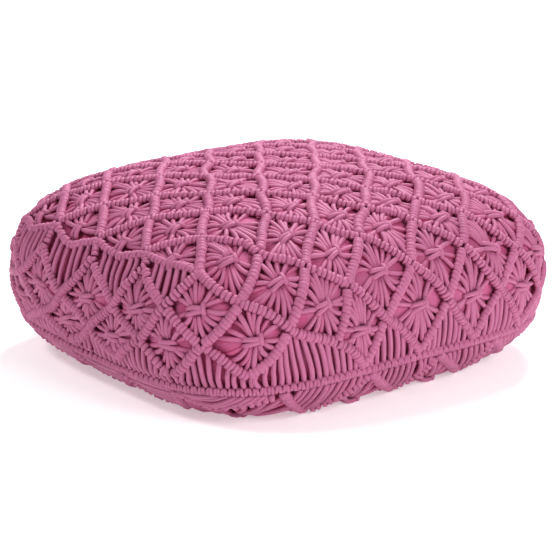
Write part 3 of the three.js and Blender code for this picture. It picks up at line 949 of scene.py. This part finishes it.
def dye_and_painted_shade(tree, colour, patches, tints, shade_depths):
    """The colour of dyed cotton, in patches of two tints, with painted shade: a fuller colour in the
    hollows between cords
    """
    patchy = add_node(tree, "ShaderNodeMix",
                      {"data_type": "RGBA", MIX_FIRST: tinted(colour, tints[0]),
                       MIX_SECOND: tinted(colour, tints[1])},
                      {"Factor": patches.outputs["Fac"]})
    depth = add_node(tree, "ShaderNodeAttribute", {"attribute_name": "hollow"})
    shade_share = add_node(tree, "ShaderNodeMapRange",
                    {"From Min": shade_depths[0], "From Max": shade_depths[1]},
                    {"Value": depth.outputs["Fac"]})
    # painted shade: the deeper a point lies below the crests, the more of the fuller colour it takes
    shaded = add_node(tree, "ShaderNodeMix",
                      {"data_type": "RGBA", MIX_SECOND: painted_shade_colour(colour)},
                      {"Factor": shade_share.outputs["Result"], MIX_FIRST: patchy.outputs[MIX_RESULT]})
    return shaded.outputs[MIX_RESULT]


def cotton_cord_material(colour):
    """Soft-spun cotton cord: matte, with a felt of fine fibres that catches light at its edges"""
    material, tree = blank_material(CORD_MATERIAL)
    place = add_node(tree, "ShaderNodeTexCoord").outputs["Object"]
    patches = add_node(tree, "ShaderNodeTexNoise", {"Scale": CORD_PATCHES, "Detail": 3.0},
                       {"Vector": place})
    fibres = add_node(tree, "ShaderNodeTexNoise", {"Scale": CORD_TUFTS, "Detail": 4.0},
                      {"Vector": place})
    bump = add_node(tree, "ShaderNodeBump", {"Strength": 0.35, "Distance": 0.4 * MM},
                    {"Height": fibres.outputs["Fac"]})
    # Its base colour has patches of dye and painted shade in the hollows between cords
    shader = add_node(tree, "ShaderNodeBsdfPrincipled",
                      {"Roughness": 0.6, "Specular IOR Level": 0.4, "Sheen Weight": 0.03,
                       "Sheen Roughness": 0.5, "Sheen Tint": (1.0, 0.92, 0.96, 1.0)},
                      {"Base Color": dye_and_painted_shade(tree, colour, patches, CORD_TINTS, CORD_SHADE_DEPTHS),
                       "Normal": bump.outputs["Normal"]})
    add_node(tree, "ShaderNodeOutputMaterial", None, {"Surface": shader.outputs["BSDF"]})
    return material


def casing_cloth_material(colour):
    """Plain-woven cotton cloth: matte, with a fine grid of threads and softly faded swells: patches
    of dye, and painted shade where the cloth lies deep between the cords
    """
    material, tree = blank_material("plain_woven_cotton_cloth")
    place = add_node(tree, "ShaderNodeTexCoord").outputs["Object"]
    patches = add_node(tree, "ShaderNodeTexNoise", {"Scale": CLOTH_PATCHES, "Detail": 2.0},
                       {"Vector": place})
    threads = add_node(tree, "ShaderNodeAttribute", {"attribute_name": "threads"}).outputs["Vector"]
    # The bands of a wave texture lie pi / 10 over its scale apart
    warp, weft = (add_node(tree, "ShaderNodeTexWave",
                           {"bands_direction": way, "Scale": math.pi / 10 / WEAVE_PITCH},
                           {"Vector": threads}).outputs["Fac"] for way in "XY")
    grid = add_node(tree, "ShaderNodeMath", {"operation": "MULTIPLY"}, {0: warp, 1: weft})
    bump = add_node(tree, "ShaderNodeBump", {"Strength": 0.4, "Distance": 0.25 * MM},
                    {"Height": grid.outputs["Value"]})
    # Its base colour has patches of dye and painted shade where the cloth lies deep between the cords
    shader = add_node(tree, "ShaderNodeBsdfPrincipled",
                      {"Roughness": 0.75, "Specular IOR Level": 0.25, "Sheen Weight": 0.03},
                      {"Base Color": dye_and_painted_shade(tree, colour, patches, CLOTH_TINTS, CLOTH_SHADE_DEPTHS),
                       "Normal": bump.outputs["Normal"]})
    add_node(tree, "ShaderNodeOutputMaterial", None, {"Surface": shader.outputs["BSDF"]})
    return material


def floor_material():
    """Matte white studio board, which glows a little, so that the shadows on it stay faint"""
    material, tree = blank_material("matte_white_board")
    shader = add_node(tree, "ShaderNodeBsdfPrincipled",
                      {"Base Color": linear(0xF4F4F4), "Roughness": 0.9, "Specular IOR Level": 0.1,
                       "Emission Color": (1, 1, 1, 1), "Emission Strength": 0.35})
    add_node(tree, "ShaderNodeOutputMaterial", None, {"Surface": shader.outputs["BSDF"]})
    return material


def cord_material():
    """The one material of all cords, made for the first piece that needs it"""
    colours = bpy.context.scene.pouf_colours
    return bpy.data.materials.get(CORD_MATERIAL) or cotton_cord_material(tuple(colours.cord))


# The casing: cloth cut to the shape behind the panels, and pressed out by its filling

CASING_DEPTH = 10.2 * MM  # below the crests, where the ridges hold it
CASING_PARTS = 10  # squares of the casing's cloth to a step
CASING_FULLNESS = 2.6 * MM  # how far it swells out between the ridges
CASING_SWELL = 5.6 * MM  # and in the openings beside a star knot
OPENING_TO_SIDE = 2.2  # how the swell rises to the two sides of a star
OPENING_TO_END = 2.5  # and falls to its two ends
CASING_FOLDS = 0.5 * MM
FOLD_WAVES = ((21, 5), (-7, 17))
CUT_SHARE = 0.5  # how far it swells as it is cut, before its filling presses it out
PRESSED_SHARE = 0.6  # and how far the filling may press it out after that
SEWN_WITHIN = 0.2 * MM  # points of two cloths this close are sewn together
SETTLING_FRAMES = 20
CLOTH = {
    "use_pressure": True,
    "uniform_pressure_force": 40,
    "shrink_min": -0.08,  # the cloth is cut 8% larger than the room between the ridges
    "mass": 0.006,  # kg for each of its points
    "tension_stiffness": 5,
    "compression_stiffness": 5,
    "shear_stiffness": 5,
    "bending_stiffness": 0.05,
}


def casing_swell(column, row):
    """How far the casing swells out at places on a panel: most at the two sides of a star"""
    u, v = (column + row + 0.5) % 1, (column - row + 0.5) % 1
    inside = 16 * u * (1 - u) * v * (1 - v)
    to_side = np.abs((u + v) % 2 - 1)
    to_end = np.abs(u - v)
    opening = np.clip(OPENING_TO_SIDE * to_side - OPENING_TO_END * to_end, 0, 1)
    folds = wave(CASING_FOLDS, FOLD_WAVES[0], column, row) * wave(1, FOLD_WAVES[1], column, row)
    swell = CASING_FULLNESS + (CASING_SWELL - CASING_FULLNESS) * opening
    return np.sqrt(inside) * swell + folds * inside


def lay_cloth(shape, panel, columns, first_row, cut_share):
    """Lays a grid of cloth behind one panel"""
    last_row = panel.rows[1]
    rows = round((last_row - first_row) * CASING_PARTS)
    made = bmesh.ops.create_grid(shape, x_segments=columns * CASING_PARTS, y_segments=rows,
                                 size=0.5)["verts"]
    flat = np.array([vert.co[:2] for vert in made]) + 0.5
    column = panel.columns[0] + flat[:, 0] * (panel.columns[1] - panel.columns[0])
    row = first_row + flat[:, 1] * (last_row - first_row)
    edge = np.min([flat[:, 0], 1 - flat[:, 0], flat[:, 1], 1 - flat[:, 1]], axis=0)
    swell = np.where(edge > 1e-4, casing_swell(column, row), 0)
    room = swell * PRESSED_SHARE * (panel is not BOTTOM)
    points = panel.chart(column, row, CASING_DEPTH - swell * cut_share)
    threads = shape.verts.layers.float_vector.get("threads")
    free = shape.verts.layers.float.get("room")
    for vert, point, across, along, most in zip(made, points, column, row, room):
        vert.co = point
        vert[threads] = (across * STEP_LENGTH, along * STEP_LENGTH, 0)
        vert[free] = most


def sew_casing(cut_share):
    """The cloths behind all the panels, sewn together and closed under the seam"""
    shape = bmesh.new()
    shape.verts.layers.float_vector.new("threads")
    shape.verts.layers.float.new("room")
    lay_cloth(shape, TOP, TOP_COLUMNS, TOP.rows[0], cut_share)
    lay_cloth(shape, BOTTOM, TOP_COLUMNS, 0, cut_share)
    for panel in SIDES:
        lay_cloth(shape, panel, TOP_ROWS, 0, cut_share)
    bmesh.ops.remove_doubles(shape, verts=shape.verts, dist=SEWN_WITHIN)
    bmesh.ops.bridge_loops(shape, edges=[edge for edge in shape.edges if edge.is_boundary])
    bmesh.ops.recalc_face_normals(shape, faces=shape.faces)
    mesh = bpy.data.meshes.new("casing")
    finish_mesh(shape, mesh)
    return mesh


def add_filling(casing, held, room):
    """Cloth under pressure, held where there is no room for it"""
    for index, most in enumerate(room):
        held.add([index], max(0.0, 1 - most / MM), "REPLACE")
    filling = casing.modifiers.new("filling", "CLOTH")
    filling.settings.vertex_group_mass = held.name
    for name, value in CLOTH.items():
        setattr(filling.settings, name, value)
    filling.settings.effector_weights.gravity = 0
    filling.point_cache.frame_end = SETTLING_FRAMES
    return filling


def press_out(casing, scene):
    """Lets the filling press the casing out between the ridges, nowhere by more than its room"""
    room = np.empty(len(casing.data.vertices), np.float32)
    casing.data.attributes["room"].data.foreach_get("value", room)
    held = casing.vertex_groups.new(name="held by the ridges")
    filling = add_filling(casing, held, room)
    for moment in range(1, SETTLING_FRAMES + 1):
        scene.frame_set(moment)
    pressed = casing.evaluated_get(bpy.context.evaluated_depsgraph_get())
    start, moves = mesh_points(casing.data), mesh_points(pressed.data)
    moves -= start
    lengths = np.linalg.norm(moves, axis=1)
    moves *= np.minimum(1, room / np.maximum(lengths, 1e-9))[:, None]
    casing.modifiers.remove(filling)
    casing.vertex_groups.remove(held)
    casing.data.attributes.remove(casing.data.attributes["room"])
    scene.frame_set(1)
    casing.data.vertices.foreach_set("co", (start + moves).ravel())
    casing.data.update()


# The operators, one for each piece or group of like pieces


class POUF_OT_casing(bpy.types.Operator):
    """Makes the filled casing that swells out between the cords"""

    bl_idname = "pouf.casing"
    bl_label = "Filled casing"

    def execute(self, context):
        mesh = sew_casing(CUT_SHARE)
        casing = new_object("casing", mesh)
        press_out(casing, context.scene)
        note_hollows(mesh)
        softened = casing.modifiers.new("softened", "SUBSURF")
        softened.levels = softened.render_levels = 1
        mesh.materials.append(casing_cloth_material(tuple(context.scene.pouf_colours.casing)))
        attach(casing, "root")
        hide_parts("casing_cushion")
        return {"FINISHED"}


class POUF_OT_ridges(bpy.types.Operator):
    """Knots the ridges of double half hitches on the top and the sides"""

    bl_idname = "pouf.ridges"
    bl_label = "Knotted ridges"

    def execute(self, context):
        cords = Cords(context.scene.pouf_cord)
        add_bars(cords, TOP, 1)
        add_bars(cords, TOP, -1, **TOP_SLEEVES)
        ridges = cords.piece("top_ridges")
        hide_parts("top_panel")
        for panel, side in zip(SIDES, ("left", "right")):
            cords = Cords(context.scene.pouf_cord)
            for slant in (1, -1):
                add_bars(cords, panel, slant, **SIDE_RIDGES)
            add_edge_band(cords, panel)
            ridges = cords.piece(f"side_ridges_{side}")
            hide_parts(f"side_panel_{side}")
        return {"FINISHED"}


class POUF_OT_stars(bpy.types.Operator):
    """Gathers the cords of each diamond into a star knot"""

    bl_idname = "pouf.stars"
    bl_label = "Star knots"

    def execute(self, context):
        cords = Cords(context.scene.pouf_cord)
        add_fans(cords, TOP)
        cords.piece("top_fans")
        cords = Cords(context.scene.pouf_cord)
        add_knots(cords, TOP)
        cords.piece("top_knots")
        for panel, side in zip(SIDES, ("left", "right")):
            cords = Cords(context.scene.pouf_cord)
            add_fans(cords, panel)
            add_knots(cords, panel)
            cords.piece(f"side_stars_{side}")
        return {"FINISHED"}


class POUF_OT_plain_cords(bpy.types.Operator):
    """Hangs the plain cords under the edges and down to the seam"""

    bl_idname = "pouf.plain_cords"
    bl_label = "Plain cords"

    def execute(self, context):
        cords = Cords(context.scene.pouf_cord)
        for panel in (TOP, *SIDES):
            add_plain(cords, panel)
        cords.piece("plain_cords")
        return {"FINISHED"}


class POUF_OT_seam(bpy.types.Operator):
    """Knots the raised seam all round"""

    bl_idname = "pouf.seam"
    bl_label = "Seam"

    def execute(self, context):
        cords = Cords(context.scene.pouf_cord)
        add_seam(cords)
        seam = cords.piece("seam")
        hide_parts("seam_cord")
        return {"FINISHED"}


class POUF_OT_bottom(bpy.types.Operator):
    """Knots the panel under the pouf"""

    bl_idname = "pouf.bottom"
    bl_label = "Bottom panel"

    def execute(self, context):
        cords = Cords(context.scene.pouf_cord)
        for slant in (1, -1):
            add_bars(cords, BOTTOM, slant, **BOTTOM_RIDGES)
        ridges = cords.piece("bottom_ridges")
        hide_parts("bottom_panel")
        cords = Cords(context.scene.pouf_cord)
        add_fans(cords, BOTTOM)
        add_knots(cords, BOTTOM)
        add_plain(cords, BOTTOM)
        cords.piece("bottom_cords")
        return {"FINISHED"}


# The studio

FLOOR_RADIUS = 6
ROOM_LIGHT = 0.27  # from the white room all round

# Name, place in metres, size in metres, watts
STUDIO_LIGHTS = (
    ("key", (1.3, 0.9, 2.3), 1.0, 69),
    ("front", (0.2, -2.6, 1.5), 1.2, 35),
    ("left", (-1.7, 0.3, 2.1), 0.5, 17),
)


def lay_floor():
    shape = bmesh.new()
    bmesh.ops.create_circle(shape, cap_ends=True, segments=96, radius=FLOOR_RADIUS)
    mesh = bpy.data.meshes.new("floor")
    shape.to_mesh(mesh)
    shape.free()
    mesh.materials.append(floor_material())
    floor = new_object("floor", mesh)


def light_room(scene):
    """Lights the white room from all round and by three lamps that face the pouf"""
    scene.world = bpy.data.worlds.new("white_room")
    scene.world.use_nodes = True
    background = scene.world.node_tree.nodes["Background"]
    background.inputs["Color"].default_value = (1, 1, 1, 1)
    background.inputs["Strength"].default_value = ROOM_LIGHT
    for name, place, size, watts in STUDIO_LIGHTS:
        light = bpy.data.lights.new(name, "AREA")
        light.size = size
        light.energy = watts
        lamp = new_object(name, light)
        lamp.location = place
        lamp.rotation_euler = (-Vector(place)).to_track_quat("-Z", "Y").to_euler()


def set_camera(scene):
    """Sets the camera where the photograph was taken from"""
    camera = new_object("camera", bpy.data.cameras.new("camera"))
    back = Vector((math.sin(VIEW_AZIMUTH) * math.cos(VIEW_ELEVATION),
                   -math.cos(VIEW_AZIMUTH) * math.cos(VIEW_ELEVATION),
                   math.sin(VIEW_ELEVATION)))
    camera.location = VIEW_TARGET + back * VIEW_DISTANCE
    camera.rotation_euler = back.to_track_quat("Z", "Y").to_euler()
    camera.data.lens = VIEW_LENS
    camera.data.sensor_width = VIEW_SENSOR
    scene.camera = camera


class POUF_OT_studio(bpy.types.Operator):
    """Sets the floor, the lights and the camera"""

    bl_idname = "pouf.studio"
    bl_label = "Studio"

    def execute(self, context):
        lay_floor()
        light_room(context.scene)
        set_camera(context.scene)
        context.scene.view_settings.view_transform = "Standard"
        context.scene.view_settings.look = "Medium High Contrast"
        return {"FINISHED"}


class POUF_PT_panel(bpy.types.Panel):
    """Lists the pieces and their settings"""

    bl_idname = "POUF_PT_panel"
    bl_label = "Macrame pouf"
    bl_space_type = "VIEW_3D"
    bl_region_type = "UI"
    bl_category = "Pouf"

    def draw(self, context):
        for settings in (context.scene.pouf_cord, context.scene.pouf_colours):
            for name in settings.__annotations__:
                self.layout.prop(settings, name)
        for piece in PIECES:
            self.layout.operator(piece.bl_idname)


PIECES = (POUF_OT_casing, POUF_OT_ridges, POUF_OT_stars, POUF_OT_plain_cords, POUF_OT_seam,
          POUF_OT_bottom, POUF_OT_studio)
CLASSES = (PoufCordSettings, PoufColourSettings, *PIECES, POUF_PT_panel)


def register():
    for made in CLASSES:
        bpy.utils.register_class(made)
    bpy.types.Scene.pouf_cord = PointerProperty(type=PoufCordSettings)
    bpy.types.Scene.pouf_colours = PointerProperty(type=PoufColourSettings)


def unregister():
    del bpy.types.Scene.pouf_colours
    del bpy.types.Scene.pouf_cord
    for made in reversed(CLASSES):
        bpy.utils.unregister_class(made)


def main():
    register()
    for piece in PIECES:
        module, name = piece.bl_idname.split(".")
        getattr(getattr(bpy.ops, module), name)()


if __name__ == "__main__":
    main()
